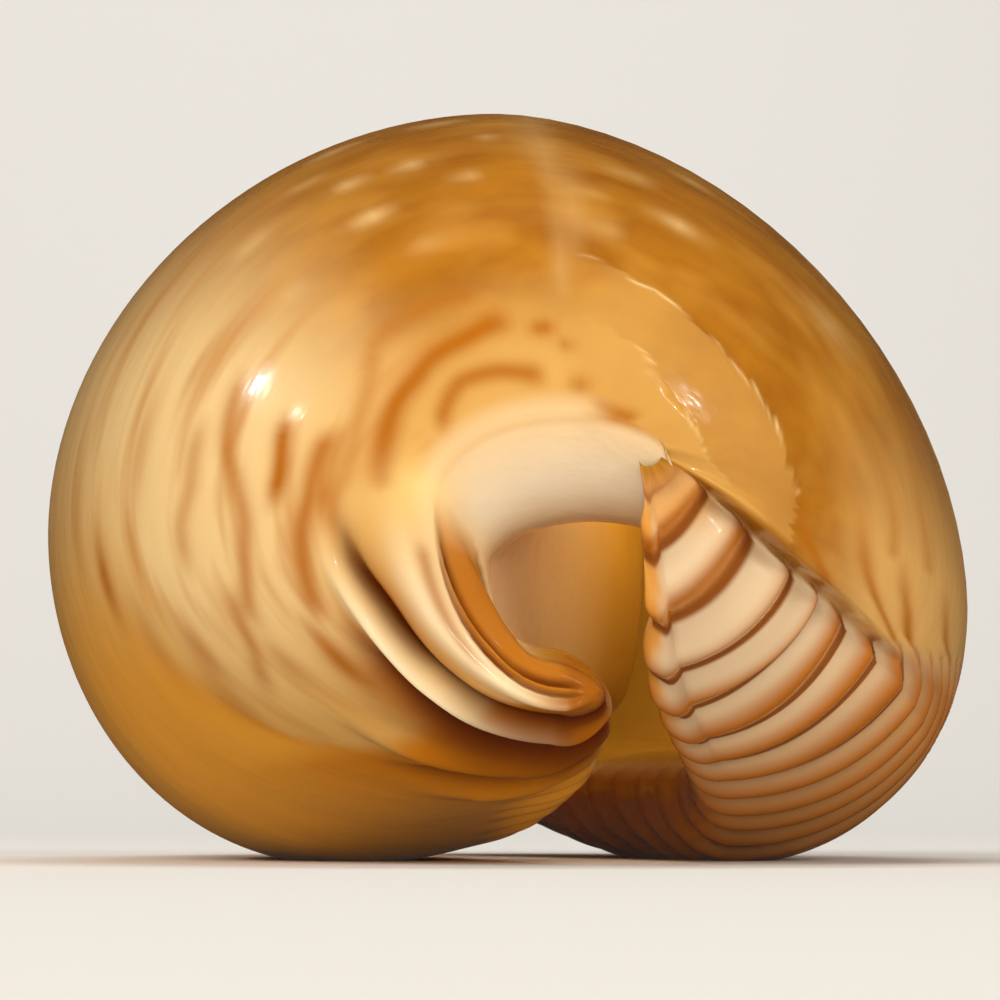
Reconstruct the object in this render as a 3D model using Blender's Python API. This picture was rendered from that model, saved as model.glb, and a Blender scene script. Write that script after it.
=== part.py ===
"""Cowrie shell, 34 mm long: one closed body of glossy porcelain-like shell.

The shell lies on its base with its long axis on Y, its near end at -Y, the base at Z = 0
and the outer lip (the side with the stronger ribs) at +X. The wall is one sheet that rolls
right round the inside: it starts at the ribbed outer lip, passes under the right lobe, over
the back and under the left lobe, and ends at the inner lip. The slot between the two lips is
the mouth, and it widens into a short funnel at both ends.
"""
import math

import bmesh
import bpy
import numpy as np

MM = 0.001

# Driving sizes in millimetres
LENGTH = 34.0
RIGHT_REACH = 11.0
LEFT_REACH = 10.6
HEIGHT = 17.5
HALF = LENGTH / 2

# Middle of the finished outline as (x, y), which becomes the origin
CENTRE = (0.2, -0.13)

# The rolled rim at each end: how far round the end's arc the funnel's throat lies
RIM_NEAR = math.radians(30)
RIM_FAR = math.radians(26)

# The mesh: rows are 1.5 degrees apart on the near end's folds, then two for each rib.
# Columns are given as (where a stretch starts, number of steps), closest at the crease;
# the inside has one column for every two of the outside.
ROWS_BEFORE_RIBS = ((0, 20), (30, 2))
ROWS_AFTER_RIBS = 3
FIRST_RIB, LAST_RIB = 3, 26
ROWS_PER_RIB = 2
COLUMNS = ((0, 8), (1, 6), (1.62, 1), (1.68, 3), (2, 6), (3, 6), (4, 8), (5, 8))
INSIDE_STEP = 2

# How flat each stretch of a section is: 1 is a true quarter ellipse
FLATNESS = np.array([1.0, 1.0, 1.10, 1.04, 1.0, 1.0])

# Insides of the wall as (x, z): floor right, side right, roof, side left, floor left.
# The pillar is where the left side and floor have got to well inside the near end.
THROAT_NEAR = ((2.7, 5.35), (3.35, 6.1), (1.15, 7.05), (-1.05, 6.1), (-0.1, 4.5))
PILLAR = ((3.7, 6.9), (2.7, 3.3))
CAVITY = ((5.4, 2.7), (9.8, 6.2), (-0.3, 16.4), (-9.3, 8.2), (-3.6, 2.8))
THROAT_FAR = ((1.0, 3.9), (1.4, 5.1), (-0.2, 6.0), (-1.5, 5.1), (-1.3, 4.3))

# Grooves between the outer lip's ribs as (turn in degrees, count), along the lip's edge
GROOVES = ((0, -0.6), (14.5, 1), (24.5, 2), (34, 3), (40, 4), (45, 5), (49, 6), (53, 7), (57.5, 8), (67, 10),
           (90, 14), (168, 26), (180, 27.5))
# How far, in degrees of turn, the near ribs lean towards the rim on their way up to the crease
LEAN = ((0, 0), (8, 6.3), (27, 7.5), (33, 8), (40, 6), (45, 4.5), (52, 1.5), (60, 0))
CREASE = 1.64

# Folds of the near end's left side: (course of d over t, half width in degrees, height in mm).
# Outside: cream fold, maroon furrow, cream fold, brown furrow, fold, furrow, fold.
FOLDS = (
    (((3.8, 4.2), (4.0, 3.8), (4.36, 3.4), (4.57, 2.2), (4.73, 1.8), (4.93, 3.0), (6.0, 5.0)), 2.6, 0.20),
    (((3.9, 11.8), (4.18, 11.2), (4.38, 9.4), (4.61, 10.2), (4.8, 12.3), (4.95, 14.0), (5.25, 17.0),
      (5.58, 16.0), (6.0, 13.0)), 1.5, -0.62),
    (((3.9, 15.0), (4.17, 14.0), (4.42, 12.6), (4.65, 14.0), (4.83, 17.5), (4.99, 20.5), (5.38, 23.5),
      (6.0, 20.5)), 1.6, 0.34),
    (((4.2, 19.0), (4.38, 17.0), (4.5, 17.5), (4.73, 22.4), (4.97, 28.0), (5.35, 30.5), (5.65, 30.0),
      (6.0, 27.0)), 2.4, -0.42),
    (((4.6, 32.0), (4.96, 35.5), (5.25, 37.0), (5.48, 35.5), (6.0, 33.0)), 2.2, 0.26),
    (((4.8, 41.0), (5.2, 42.5), (6.0, 38.5)), 1.9, -0.34),
    (((4.9, 47.0), (5.32, 47.0), (5.5, 44.5), (6.0, 43.0)), 2.0, 0.20),
)
# Where each fold fades in, from t to t
FOLD_STARTS = ((3.9, 4.4), (4.02, 4.3), (4.05, 4.45), (4.36, 4.62), (4.55, 4.85), (4.75, 5.0), (4.85, 5.1))
# Inside the rim: one broad fold beside them
INNER_FOLD = (((3.95, 3.0), (4.1, 7.0), (4.25, 10.5), (4.4, 13.0), (4.6, 13.0), (4.8, 10.0), (5.6, 8.0)),
              4.2, 0.24)

SHELL_COLOUR = (0.50, 0.24, 0.07, 1.0)


def curve(x, points):
    """Smooth line through a few (x, y) points, level at each local high or low."""
    px = np.array([p[0] for p in points], float)
    py = np.array([p[1] for p in points], float)
    step = np.diff(px)
    slope = np.diff(py) / step
    tangent = np.zeros_like(py)
    tangent[0], tangent[-1] = slope[0], slope[-1]
    for i in range(1, len(px) - 1):
        if slope[i - 1] * slope[i] > 0:
            tangent[i] = 2 * slope[i - 1] * slope[i] / (slope[i - 1] + slope[i])
    x = np.clip(x, px[0], px[-1])
    i = np.clip(np.searchsorted(px, x) - 1, 0, len(px) - 2)
    t = (x - px[i]) / step[i]
    return ((2 * t**3 - 3 * t**2 + 1) * py[i] + (t**3 - 2 * t**2 + t) * step[i] * tangent[i]
            + (3 * t**2 - 2 * t**3) * py[i + 1] + (t**3 - t**2) * step[i] * tangent[i + 1])


def ramp(x, low, high):
    """0 below low, 1 above high, with a smooth rise between."""
    t = np.clip((x - low) / (high - low), 0, 1)
    return t * t * (3 - 2 * t)


def bump(x, centre, width):
    """Bell-shaped rise of height 1."""
    return np.exp(-((x - centre) / width) ** 2)


def grow(turn, near, middle, far, near_power=1.0, far_power=1.0):
    """Elliptical growth from the near end's value to the middle's, and on to the far end's."""
    s = np.abs(np.sin(turn))
    return np.where(turn < math.pi / 2, near + (middle - near) * s**near_power,
                    far + (middle - far) * s**far_power)


def outside_corners(turn):
    """The seven points (x, z) of each outside section, from the right lip round to the left.

    turn is 0 at the near end's rim, a quarter turn at mid-length and a half turn at the far
    rim, so that Y = -HALF cos(turn). The points are the right lip's edge, the right lobe's
    underside, the right side, the top, the left side, the left lobe and the left lip's edge.
    """
    d = np.degrees(turn)
    right_lip = (curve(d, [(0, 1.80), (7, 1.92), (14, 1.90), (21, 2.15), (32, 2.2), (42, 2.67), (52, 3.3),
                           (67, 3.95), (80, 3.45), (90, 2.85), (105, 1.76), (125, 0.6), (145, -0.1),
                           (165, 0.2), (180, 0.75)]),
                 curve(d, [(0, 8.15), (7, 7.3), (14, 6.35), (21, 5.36), (32, 4.3), (42, 3.44), (52, 2.7),
                           (67, 1.85), (80, 1.7), (90, 1.75), (120, 1.9), (150, 2.8), (170, 4.1),
                           (180, 5.3)]))
    right_lobe = (curve(d, [(0, 1.98), (14, 2.35), (32, 3.0), (52, 4.4), (70, 5.2), (90, 5.38),
                            (120, 4.6), (150, 2.9), (170, 1.6), (180, 1.0)]),
                  curve(d, [(0, 8.0), (7, 7.05), (14, 6.05), (21, 4.95), (32, 3.75), (42, 2.65),
                            (52, 1.75), (67, 0.62), (78, -0.02), (88, -0.14), (102, -0.14), (120, 0.35),
                            (150, 2.0), (170, 3.8), (180, 5.15)]))
    right_side = (grow(turn, 2.3, RIGHT_REACH, 1.7, 0.97), grow(turn, 8.4, 5.55, 5.6, 1.2))
    top = (grow(turn, 0.22, -0.29, 0.0), grow(turn, 9.1, HEIGHT, 7.2, 0.94, 0.95))
    left_side = (grow(turn, -2.39, -LEFT_REACH, -1.6, 0.93, 0.95), grow(turn, 7.38, 7.7, 5.6))
    left_lobe = (curve(d, [(0, 0.35), (20, 0.1), (40, -0.8), (60, -2.2), (90, -3.7), (120, -3.3),
                           (150, -2.4), (170, -1.5), (180, -1.0)]),
                 curve(d, [(0, 3.3), (20, 2.8), (40, 1.85), (60, 0.85), (76, 0.0), (88, -0.14),
                           (102, -0.14), (120, 0.35), (150, 2.0), (170, 3.8), (180, 5.0)]))
    left_lip = (curve(d, [(0, 0.95), (20, 1.27), (35, 1.45), (50, 1.47), (60, 1.26), (70, 0.93),
                          (80, 0.58), (100, 0.0), (125, -1.0), (145, -1.6), (165, -1.4), (180, -0.9)]),
                curve(d, [(0, 3.6), (20, 3.2), (30, 2.95), (50, 2.36), (70, 1.6), (80, 1.45), (100, 1.45),
                          (120, 1.8), (150, 2.7), (170, 4.0), (180, 5.2)]))
    return np.array([right_lip, right_lobe, right_side, top, left_side, left_lobe, left_lip])


def inside_corners(turn, outside):
    """The same seven points for the wall's inside: rim, throat, then the wide hollow.

    On the left the near throat runs on inwards as the smooth pillar that the shell coils round.
    """
    corners = outside.copy()
    crest_near = outside_corners(np.zeros((1, 1)))
    crest_far = outside_corners(np.full((1, 1), math.pi))
    right_edge = outside_corners(np.full((1, 1), RIM_NEAR))[1]
    y = -HALF * np.cos(turn)
    open_near = ramp(y, -HALF * math.cos(RIM_NEAR), -5.0)
    open_behind_pillar = ramp(y, -5.5, 3.0)
    along_pillar = np.clip((y + HALF * math.cos(RIM_NEAR)) / (HALF * math.cos(RIM_NEAR) - 4.0), 0, 1)
    open_far = ramp(-y, -HALF * math.cos(RIM_FAR), -5.0)
    roll_near = np.sin(np.clip(turn / RIM_NEAR, 0, 1) * math.pi / 2)
    roll_far = np.sin(np.clip((math.pi - turn) / RIM_FAR, 0, 1) * math.pi / 2)
    for k in range(1, 6):
        for axis in (0, 1):
            near_edge = crest_near[k, axis]
            far_edge = crest_far[k, axis]
            middle = CAVITY[k - 1][axis]
            near = near_edge + (THROAT_NEAR[k - 1][axis] - near_edge) * roll_near
            if k == 1:
                late = 1 - np.sqrt(1 - roll_near**2)
                near = outside[k, axis] + (THROAT_NEAR[0][axis] - right_edge[axis]) * late
                near = np.where(turn < RIM_NEAR, near, THROAT_NEAR[0][axis])
            far = far_edge + (THROAT_FAR[k - 1][axis] - far_edge) * roll_far
            opening = open_near
            if k > 3:
                near = near + (PILLAR[k - 4][axis] - THROAT_NEAR[k - 1][axis]) * along_pillar
                opening = open_behind_pillar
            corners[k, axis] = np.where(y < 0, near + (middle - near) * opening,
                                        far + (middle - far) * open_far)
    return corners


def ring(corners, around):
    """Joins the seven points by six quarter ellipses, upright and level tangents in turn."""
    part = np.clip(np.floor(around).astype(int), 0, 5)
    angle = (around - part) * math.pi / 2
    s = np.sin(angle) ** FLATNESS[part]
    c = np.maximum(np.cos(angle), 0) ** FLATNESS[part]
    upright_first = part % 2 == 0
    fx = np.where(upright_first, 1 - c, s)[:, None]
    fz = np.where(upright_first, s, 1 - c)[:, None]
    columns = np.arange(len(around))
    a, b = corners[part, :, :, columns], corners[part + 1, :, :, columns]
    return (a[:, 0] + (b[:, 0] - a[:, 0]) * fx).T, (a[:, 1] + (b[:, 1] - a[:, 1]) * fz).T


def outward(grid):
    """Unit normals of a grid of points: the cross product of its steps along rows and columns."""
    n = np.cross(np.gradient(grid, axis=0), np.gradient(grid, axis=1))
    return n / np.maximum(np.linalg.norm(n, axis=-1, keepdims=True), 1e-9)


def leaning(d_lip, t):
    """Turn of a line that leaves the lip at d_lip and leans as the ribs do: d = d_lip - lean(d)."""
    share = ramp(t, 0.65, 1.55) * (1 - ramp(t, 1.9, 2.6))
    d = d_lip + 0 * share
    for _ in range(12):
        d = 0.5 * d + 0.5 * (d_lip - curve(d, LEAN) * share)
    return np.maximum(d, 0)


def rib_count(d, t):
    """Whole numbers of this count are the grooves between ribs."""
    return curve(d + curve(d, LEAN) * ramp(t, 0.65, 1.55), GROOVES)


def pad_extent(d, t):
    """1 on the ribbed pad: up to the crease near the rim, fading on the shell's side further on."""
    edge = curve(d, ((0, CREASE), (36, CREASE), (46, 1.74), (62, 1.85), (90, 1.95), (180, 1.9)))
    soft = 0.03 + 0.10 * ramp(d, 36, 50) + 0.25 * ramp(d, 60, 85)
    return (1 - ramp(t, edge - soft, edge + 0.4 * soft)) * ramp(d, 0, 9) * (1 - ramp(d, 158, 176))


def fold(d, t, course, width):
    """Bell-shaped across the course."""
    return bump(d, curve(t, course), width)


def relief(turn, around):
    """Height of the ribs, folds and crease over the smooth form, in millimetres."""
    d = np.degrees(turn)
    t = around[None, :] + 0 * d

    # Each rib rises gently out of its upper groove, is highest low down, and drops steeply to the next
    phase = np.mod(rib_count(d, t), 1.0)
    profile = ramp(phase, -0.05, 0.55) - ramp(phase, 0.50, 1.0) - 0.45
    strength = 0.22 + 0.24 * bump(d, 22, 13) - 0.06 * ramp(d, 50, 80)
    strength = strength * (0.35 + 0.65 * ramp(t, 0.05, 0.5))
    strength = strength * (1 - 0.45 * ramp(t, 0.8, 1.9) * ramp(d, 60, 90))
    strength = strength * (1 - 0.75 * (1 - ramp(t, 0.2, 0.7)) * ramp(d, 44, 60))
    resting_pad = 1 - bump(t, 1.0, 0.28) * bump(d, 94, 14)
    tip = ramp(d, 2, 13 - 6 * ramp(t, 0.3, 1.0))
    ribs = strength * tip * pad_extent(d, t) * resting_pad * profile

    # The back's glaze stands over the ribbed pad along a sharp crease
    below = np.exp(-np.maximum(CREASE - t, 0) / 0.22)
    crease = -0.70 * below * (1 - ramp(t, CREASE, CREASE + 0.03)) * ramp(d, 3, 12) * (1 - ramp(d, 34, 50))
    ledge = 0.12 * bump(t, CREASE + 0.07, 0.05) * ramp(d, 2, 9) * (1 - ramp(d, 30, 44))

    folds = sum(height * fold(d, t, course, width) * ramp(t, *start)
                for (course, width, height), start in zip(FOLDS, FOLD_STARTS))
    folds = folds * (1 - 0.75 * ramp(t, 5.1, 5.8)) * (1 - ramp(t, 4.9, 5.6) * (1 - ramp(d, 6, 18)))
    folds = folds + 0.16 * bump(d, 0.0, 5.0) * bump(t, 3.98, 0.20)

    # Short teeth along the rest of the left lip
    teeth = 0.17 * np.cos(2 * math.pi * curve(d, GROOVES) + 2.0) * ramp(d, 46, 56) * (1 - ramp(d, 158, 174))
    teeth = teeth * ramp(t, 5.1 + 0.35 * ramp(d, 40, 90), 5.75)
    return ribs + crease + ledge + folds + teeth


def inner_relief(turn, around):
    """Height of the fold inside the near rim, in millimetres, zero on the rim itself."""
    d = np.degrees(turn)
    t = around[None, :] + 0 * d
    course, width, height = INNER_FOLD
    height = height * ramp(t, 3.95, 4.25) * (1 - ramp(t, 4.9, 5.5)) * ramp(d, 0, 1.5)
    return height * fold(d, t, course, width)


def surfaces(turn, around_outside, around_inside):
    """The wall's outside and inside as grids of points that share their four edges.

    turn holds the turn of each row where it leaves the right lip.
    """
    leant = np.radians(leaning(np.degrees(turn)[:, None], around_outside[None, :]))
    x, z = ring(outside_corners(leant), around_outside)
    outer = np.stack([x, -HALF * np.cos(leant), z], -1)
    lift = relief(leant, around_outside)[..., None] * outward(outer)
    outer = outer + lift
    outer[..., 2] = np.maximum(outer[..., 2], 0)

    # The rim rolls inwards over a quarter turn before the wall's inside opens out
    turn = turn[:, None] + 0 * around_inside[None, :]
    x, z = ring(inside_corners(turn, outside_corners(turn)), around_inside)
    section_y = -HALF * np.cos(turn)
    roll_near = 1 - np.cos(np.clip(turn / RIM_NEAR, 0, 1) * math.pi / 2)
    roll_far = 1 - np.cos(np.clip((math.pi - turn) / RIM_FAR, 0, 1) * math.pi / 2)
    near = -HALF + HALF * (1 - math.cos(RIM_NEAR)) * roll_near
    far = HALF - HALF * (1 - math.cos(RIM_FAR)) * roll_far
    rolled = np.where(turn < RIM_NEAR, near, np.where(turn > math.pi - RIM_FAR, far, section_y))
    between_lips = ramp(around_inside, 0, 0.8) * (1 - ramp(around_inside, 5.2, 6))
    right_side = (ramp(around_inside, 0, 0.4) * (1 - ramp(around_inside, 1.6, 2.4)))[None, :]
    beside_rim = ramp(turn, 0, math.radians(6)) * (1 - ramp(turn, RIM_NEAR, math.radians(60)))
    right_wall = 0.20 * right_side * beside_rim
    deep_y = section_y + (rolled - section_y) * between_lips[None, :] + right_wall
    inner = np.stack([x, deep_y, z], -1)
    inner = inner - inner_relief(turn, around_inside)[..., None] * outward(inner)

    # Ribs and folds carry on over the lips and rims and fade out on the inside
    t = around_inside[None, :, None]
    d = np.degrees(turn)[..., None]
    crest = lift[:, np.searchsorted(around_outside, around_inside - 1e-9)]
    away = ramp(t, 0, 0.7) * (1 - ramp(t, 5.2, 6))
    inner = inner + lift[:, :1] * (1 - ramp(t, 0, 0.7)) + lift[:, -1:] * ramp(t, 5.2, 6)
    inner = inner + crest[:1] * (1 - ramp(d, 0, 14)) * away + crest[-1:] * ramp(d, 168, 180) * away
    origin = np.array([CENTRE[0], CENTRE[1], 0.0])
    return outer - origin, inner - origin


def spread(stretches, end):
    """Places from 0 to end, evenly spaced within each stretch."""
    starts = [start for start, steps in stretches] + [end]
    parts = [np.linspace(starts[i], starts[i + 1], steps, endpoint=False)
             for i, (start, steps) in enumerate(stretches)]
    return np.append(np.concatenate(parts), end)


def rows():
    """Turn of each row in degrees, with a row in every groove and on every crest of the ribs."""
    fine = np.linspace(0, 180, 3601)
    first = FIRST_RIB * ROWS_PER_RIB
    last = LAST_RIB * ROWS_PER_RIB
    ribbed = np.interp(np.arange(first, last + 1) / ROWS_PER_RIB, curve(fine, GROOVES), fine)
    before = spread(ROWS_BEFORE_RIBS, ribbed[0])[:-1]
    after = np.linspace(ribbed[-1], 180, ROWS_AFTER_RIBS + 1)[1:]
    return np.concatenate([before, ribbed, after])


def build_shell():
    turn = np.radians(rows())
    around_outside = spread(COLUMNS, 6.0)
    around_inside = around_outside[::INSIDE_STEP]
    outer, inner = surfaces(turn, around_outside, around_inside)

    mesh = bpy.data.meshes.new("shell")
    bm = bmesh.new()
    out = [[bm.verts.new(p) for p in row] for row in (outer * MM).tolist()]
    ins = [[bm.verts.new(p) if 0 < j < len(row) - 1 and 0 < i < len(turn) - 1 else None
            for j, p in enumerate(row)] for i, row in enumerate((inner * MM).tolist())]
    last, width = len(turn) - 1, len(around_outside) - 1
    shared = range(0, len(around_outside), INSIDE_STEP)
    for i in range(last + 1):
        ins[i][0], ins[i][-1] = out[i][0], out[i][-1]
    for j, k in enumerate(shared):
        ins[0][j], ins[last][j] = out[0][k], out[last][k]

    def face(*corners):
        bm.faces.new(corners).smooth = True

    for i in range(last):
        for j in range(width):
            a, b, c, e = out[i][j], out[i + 1][j], out[i + 1][j + 1], out[i][j + 1]
            # Diagonals lean away from the sheet's four corners
            if (i < last / 2) == (j < width / 2):
                face(a, b, c)
                face(a, c, e)
            else:
                face(a, b, e)
                face(b, c, e)
        for j in range(len(around_inside) - 1):
            a, b, c, e = ins[i][j], ins[i + 1][j], ins[i + 1][j + 1], ins[i][j + 1]
            if i == 0:
                # The rim's first row meets twice as many columns of the outside
                middle = out[0][shared[j] + 1]
                face(a, middle, b)
                face(b, middle, c)
                face(middle, e, c)
            elif i == last - 1:
                middle = out[last][shared[j] + 1]
                face(b, a, middle)
                face(middle, a, e)
                face(middle, e, c)
            else:
                face(a, c, b)
                face(a, e, c)
    bmesh.ops.recalc_face_normals(bm, faces=bm.faces)
    bm.to_mesh(mesh)
    bm.free()
    shell = bpy.data.objects.new("shell", mesh)
    bpy.context.collection.objects.link(shell)
    return shell


def shell_material():
    material = bpy.data.materials.new("shell")
    material.use_nodes = True
    surface = material.node_tree.nodes["Principled BSDF"]
    surface.inputs["Base Color"].default_value = SHELL_COLOUR
    surface.inputs["Roughness"].default_value = 0.15
    surface.inputs["Metallic"].default_value = 0.0
    return material


for old in list(bpy.data.objects):
    bpy.data.objects.remove(old)

shell = build_shell()
shell.data.materials.append(shell_material())
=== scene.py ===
"""A glossy brown cowrie shell seen from its near end, lying on a pale floor under soft light."""
import math

import bpy
import numpy as np
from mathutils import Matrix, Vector


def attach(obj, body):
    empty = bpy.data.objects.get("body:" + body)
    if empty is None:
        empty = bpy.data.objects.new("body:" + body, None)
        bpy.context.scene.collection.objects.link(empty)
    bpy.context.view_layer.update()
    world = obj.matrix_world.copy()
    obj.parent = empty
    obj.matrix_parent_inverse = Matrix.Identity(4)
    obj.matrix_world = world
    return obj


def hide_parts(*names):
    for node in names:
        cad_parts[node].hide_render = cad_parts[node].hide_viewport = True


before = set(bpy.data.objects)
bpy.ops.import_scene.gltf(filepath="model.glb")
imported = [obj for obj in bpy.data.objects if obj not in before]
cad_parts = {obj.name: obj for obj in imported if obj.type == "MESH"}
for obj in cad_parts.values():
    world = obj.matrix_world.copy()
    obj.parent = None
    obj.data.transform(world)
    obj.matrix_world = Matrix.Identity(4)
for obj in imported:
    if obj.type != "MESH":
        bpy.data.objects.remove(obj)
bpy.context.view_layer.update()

MM = 0.001


# Camera, floor and light: a level close-up of the shell's end, from just above the floor.
# The photograph is 1000 pixels across, and a millimetre at mid-length covers 41.5 of them.

CAMERA_DISTANCE = 100.0 * MM
CAMERA_AZIMUTH = math.radians(-4.0)
CAMERA_ELEVATION = math.radians(-4.4)
CAMERA_TARGET = Vector((0.0, 0.13, 8.62)) * MM
PIXELS_PER_MM = 41.5
PICTURE_WIDTH = 1000.0


def add_camera():
    """Looks at the target from the distance, with the lens that shows PICTURE_WIDTH pixels of it."""
    camera = bpy.data.objects.new("camera", bpy.data.cameras.new("camera"))
    bpy.context.collection.objects.link(camera)
    back = Vector((math.sin(CAMERA_AZIMUTH) * math.cos(CAMERA_ELEVATION),
                   -math.cos(CAMERA_AZIMUTH) * math.cos(CAMERA_ELEVATION), math.sin(CAMERA_ELEVATION)))
    camera.location = CAMERA_TARGET + back * CAMERA_DISTANCE
    camera.rotation_euler = back.to_track_quat("Z", "Y").to_euler()
    seen_width = PICTURE_WIDTH / PIXELS_PER_MM * MM
    camera.data.lens = camera.data.sensor_width * CAMERA_DISTANCE / seen_width
    camera.data.clip_start = 1 * MM
    bpy.context.scene.camera = camera


def add_light(name, place, size, power, colour=(1.0, 1.0, 1.0), aim=CAMERA_TARGET, glossy=True):
    """A square soft box that faces the shell; glossy says whether the glaze mirrors it."""
    light = bpy.data.objects.new(name, bpy.data.lights.new(name, "AREA"))
    bpy.context.collection.objects.link(light)
    light.location = Vector(place)
    light.rotation_euler = (Vector(place) - Vector(aim)).to_track_quat("Z", "Y").to_euler()
    light.data.size = size
    light.data.energy = power
    light.data.color = colour
    light.visible_glossy = glossy
    light.visible_camera = False


def add_glow(name, place, power):
    """A small warm light inside the hollow, for the daylight that soaks through the thin back."""
    light = bpy.data.objects.new(name, bpy.data.lights.new(name, "POINT"))
    bpy.context.collection.objects.link(light)
    light.location = Vector(place) * MM
    light.data.shadow_soft_size = 2.5 * MM
    light.data.energy = power
    light.data.color = (1.0, 0.87, 0.70)
    light.visible_glossy = False
    light.visible_camera = False


def add_sky():
    """An even warm sky. The glaze mirrors a room dimmer than the light that falls on it."""
    world = bpy.context.scene.world = bpy.data.worlds.new("studio")
    world.use_nodes = True
    tree = world.node_tree
    sky = tree.nodes["Background"]
    sky.inputs["Color"].default_value = (0.92, 0.88, 0.82, 1)
    rays = tree.nodes.new("ShaderNodeLightPath")
    room = tree.nodes.new("ShaderNodeMapRange")
    room.inputs["To Min"].default_value = 0.27
    room.inputs["To Max"].default_value = 0.03
    tree.links.new(rays.outputs["Is Glossy Ray"], room.inputs["Value"])
    tree.links.new(room.outputs["Result"], sky.inputs["Strength"])


def add_floor():
    """A pale sheet, flat up to flat_end, that turns up behind the shell over a quarter circle."""
    flat_end, radius = 0.16, 0.3
    bend = np.linspace(0.1, math.pi / 2, 16)
    wall = flat_end + radius
    along = np.concatenate([np.linspace(-0.8, flat_end, 9), flat_end + radius * np.sin(bend), [wall, wall]])
    up = np.concatenate([np.zeros(9), radius * (1 - np.cos(bend)), [2 * radius, 4 * radius]])
    across = np.linspace(-0.9, 0.9, 5)
    rows, columns = len(along), len(across)
    points = [(x, y, z) for y, z in zip(along, up) for x in across]
    faces = [(a, a + 1, a + columns + 1, a + columns)
             for i in range(rows - 1) for a in range(i * columns, (i + 1) * columns - 1)]
    mesh = bpy.data.meshes.new("floor")
    mesh.from_pydata(points, [], faces)
    mesh.polygons.foreach_set("use_smooth", [True] * len(mesh.polygons))
    floor = bpy.data.objects.new("floor", mesh)
    bpy.context.collection.objects.link(floor)
    material = bpy.data.materials.new("floor")
    material.use_nodes = True
    surface = material.node_tree.nodes["Principled BSDF"]
    surface.inputs["Base Color"].default_value = (0.72, 0.70, 0.67, 1)
    surface.inputs["Roughness"].default_value = 0.85
    floor.data.materials.append(material)
    floor.visible_glossy = False


# The shell: one sheet of porcelain-like shell that rolls right round the hollow inside, from
# the ribbed outer lip on the right, over the back, to the inner lip on the left.
# Each section across it is a chain of quarter ellipses between seven points. All are in millimetres.

LENGTH = 34.0
RIGHT_REACH = 11.0
LEFT_REACH = 10.6
HEIGHT = 17.5
HALF = LENGTH / 2
CENTRE = (0.2, -0.13)
RIM_NEAR = math.radians(30)
RIM_FAR = math.radians(26)
FLATNESS = np.array([1.0, 1.0, 1.10, 1.04, 1.0, 1.0])
THROAT_NEAR = ((2.7, 5.35), (3.35, 6.1), (1.15, 7.05), (-1.05, 6.1), (-0.1, 4.5))
CAVITY = ((5.4, 2.7), (9.8, 6.2), (-0.3, 16.4), (-9.3, 8.2), (-3.6, 2.8))
PILLAR = ((3.7, 6.9), (2.7, 3.3))
THROAT_FAR = ((1.0, 3.9), (1.4, 5.1), (-0.2, 6.0), (-1.5, 5.1), (-1.3, 4.3))
RIB_BACKING = 0.20

# Rows and columns of the grid are closest where the camera sees ribs and folds: each entry gives
# where a stretch starts (in degrees of turn, or in place round the section) and its number of steps.
# The inside has one column for every three of the outside.
ROWS = ((0, 190), (60, 45), (90, 69))
COLUMNS = ((0, 45), (1, 24), (1.6, 42), (1.9, 3), (2, 24), (3, 36), (4, 42), (5, 27))
INSIDE_STEP = 3


def curve(x, points):
    """Smooth line through a few (x, y) points, level at each local high or low.

    Between two points it is a cubic, whose slope at a point is the harmonic mean of the slopes
    of the straight lines on either side.
    """
    px = np.array([p[0] for p in points], float)
    py = np.array([p[1] for p in points], float)
    step = np.diff(px)
    slope = np.diff(py) / step
    tangent = np.zeros_like(py)
    tangent[0], tangent[-1] = slope[0], slope[-1]
    for i in range(1, len(px) - 1):
        if slope[i - 1] * slope[i] > 0:
            tangent[i] = 2 * slope[i - 1] * slope[i] / (slope[i - 1] + slope[i])
    x = np.clip(x, px[0], px[-1])
    i = np.clip(np.searchsorted(px, x) - 1, 0, len(px) - 2)
    t = (x - px[i]) / step[i]
    return ((2 * t**3 - 3 * t**2 + 1) * py[i] + (t**3 - 2 * t**2 + t) * step[i] * tangent[i]
            + (3 * t**2 - 2 * t**3) * py[i + 1] + (t**3 - t**2) * step[i] * tangent[i + 1])


def ramp(x, low, high):
    """0 below low, 1 above high, and 3 t^2 - 2 t^3 between, t being the share of the way."""
    t = np.clip((x - low) / (high - low), 0, 1)
    return t * t * (3 - 2 * t)


def bump(x, centre, width):
    """Bell of height 1: e to the power of minus the square of (x - centre) / width."""
    return np.exp(-((x - centre) / width) ** 2)


def grow(turn, near, middle, far, near_power=1.0, far_power=1.0):
    """From the near end's value to the middle's in proportion to sin(turn), as on an ellipse, and
    on to the far end's; a power other than 1 makes the end blunter or more pointed."""
    s = np.abs(np.sin(turn))
    return np.where(turn < math.pi / 2, near + (middle - near) * s**near_power,
                    far + (middle - far) * s**far_power)


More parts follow.
